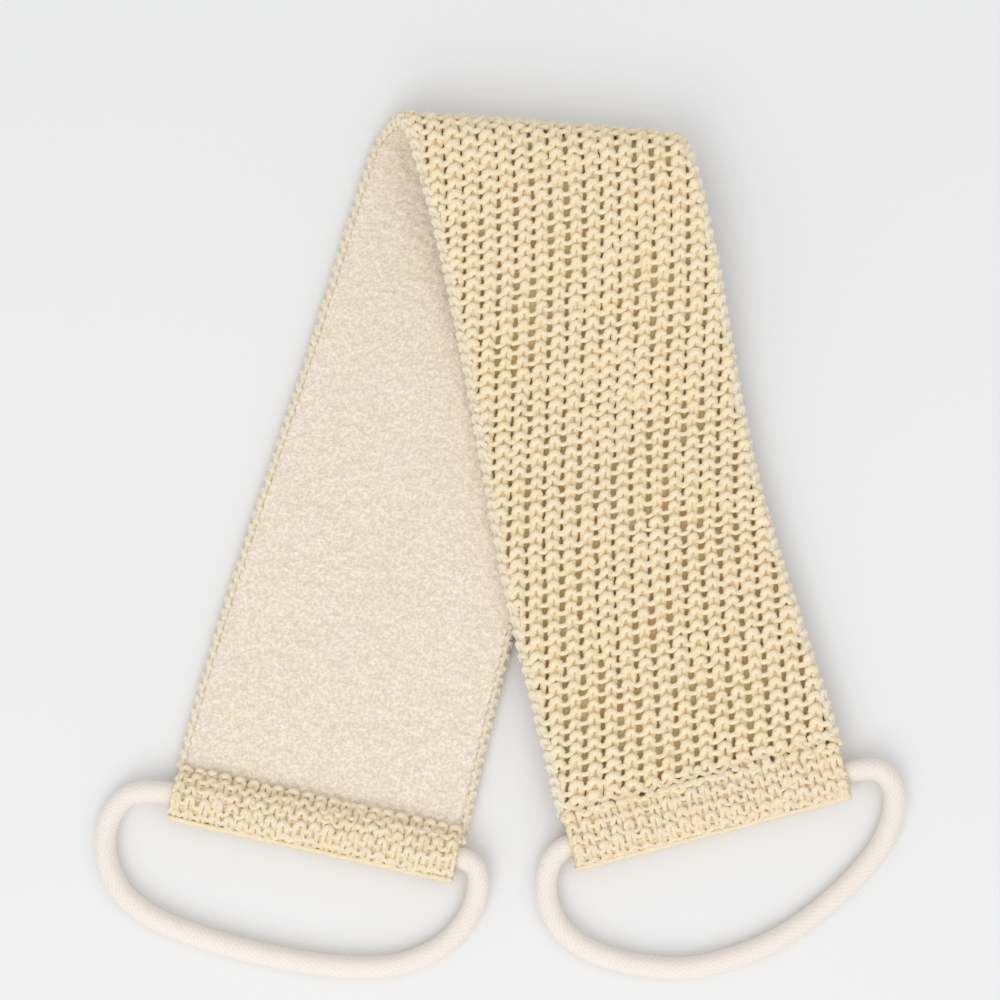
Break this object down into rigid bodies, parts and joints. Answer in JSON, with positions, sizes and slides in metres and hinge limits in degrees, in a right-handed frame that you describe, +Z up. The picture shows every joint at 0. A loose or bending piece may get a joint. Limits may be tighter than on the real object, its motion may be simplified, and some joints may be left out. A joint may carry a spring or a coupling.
{
  "type": "back scrubber strap",
  "caption": "Long knitted back-scrubbing strap with a terry lining, folded once, with a round cord handle loop through the hem at each end.",
  "frame": {"origin": "middle of the underside of the folded strap's box, on the floor, cords left out", "axes": "+Z up, +Y towards the fold, +X to the right with the fold at the top"},
  "size_m": [0.2637, 0.2892, 0.0235],
  "materials": {
    "straw_knit": "coarse, slightly hairy plant-fibre yarn, matt",
    "terry_lining": "fine nubby terry, matt",
    "rolled_edge": "the knit's rolled edge, matt",
    "hem_knit": "closely packed plant-fibre loops, matt",
    "hem_thread": "plant-fibre sewing yarn, matt",
    "cotton_cord": "smooth finely braided round cord, matt",
    "joining_sleeve": "plain moulded sleeve, out of sight inside the hem"
  },
  "bodies": {
    "lower_half": {"lower_knit": "straw_knit", "lower_terry_lining": "terry_lining", "lower_left_edge_roll": "rolled_edge", "lower_right_edge_roll": "rolled_edge", "lower_hem_casing": "hem_knit", "lower_hem_thread": "hem_thread"},
    "fold_band": {"fold_knit": "straw_knit", "fold_terry_lining": "terry_lining", "fold_left_edge_roll": "rolled_edge", "fold_right_edge_roll": "rolled_edge"},
    "upper_half": {"upper_knit": "straw_knit", "upper_terry_lining": "terry_lining", "upper_left_edge_roll": "rolled_edge", "upper_right_edge_roll": "rolled_edge", "upper_hem_casing": "hem_knit", "upper_hem_thread": "hem_thread"},
    "lower_handle": {"lower_handle_cord": "cotton_cord", "lower_cord_sleeve": "joining_sleeve"},
    "upper_handle": {"upper_handle_cord": "cotton_cord", "upper_cord_sleeve": "joining_sleeve"}
  },
  "joints": [
    {"name": "fold_open_lower", "type": "hinge", "parent": "lower_half", "child": "fold_band", "pos_m": [0.00908, 0.11956, 0.00547], "axis": [-0.9966, 0.0819, 0], "range_deg": [0, 90], "deforming": ["fold_knit", "fold_terry_lining", "fold_left_edge_roll", "fold_right_edge_roll"]},
    {"name": "fold_open_upper", "type": "hinge", "parent": "fold_band", "child": "upper_half", "pos_m": [0.00908, 0.11956, 0.01803], "axis": [-0.9966, 0.0819, 0], "range_deg": [0, 90]},
    {"name": "lower_handle_swing", "type": "hinge", "parent": "lower_half", "child": "lower_handle", "pos_m": [-0.06296, -0.11073, 0.0068], "axis": [-0.9763, 0.2164, 0], "range_deg": [-140, 140]},
    {"name": "upper_handle_swing", "type": "hinge", "parent": "upper_half", "child": "upper_handle", "pos_m": [0.06448, -0.10542, 0.0068], "axis": [-0.9673, -0.2538, 0], "range_deg": [-140, 140]}
  ],
  "couplings": [
    {"joint": "fold_open_upper", "follows": "fold_open_lower", "ratio": 1}
  ]
}
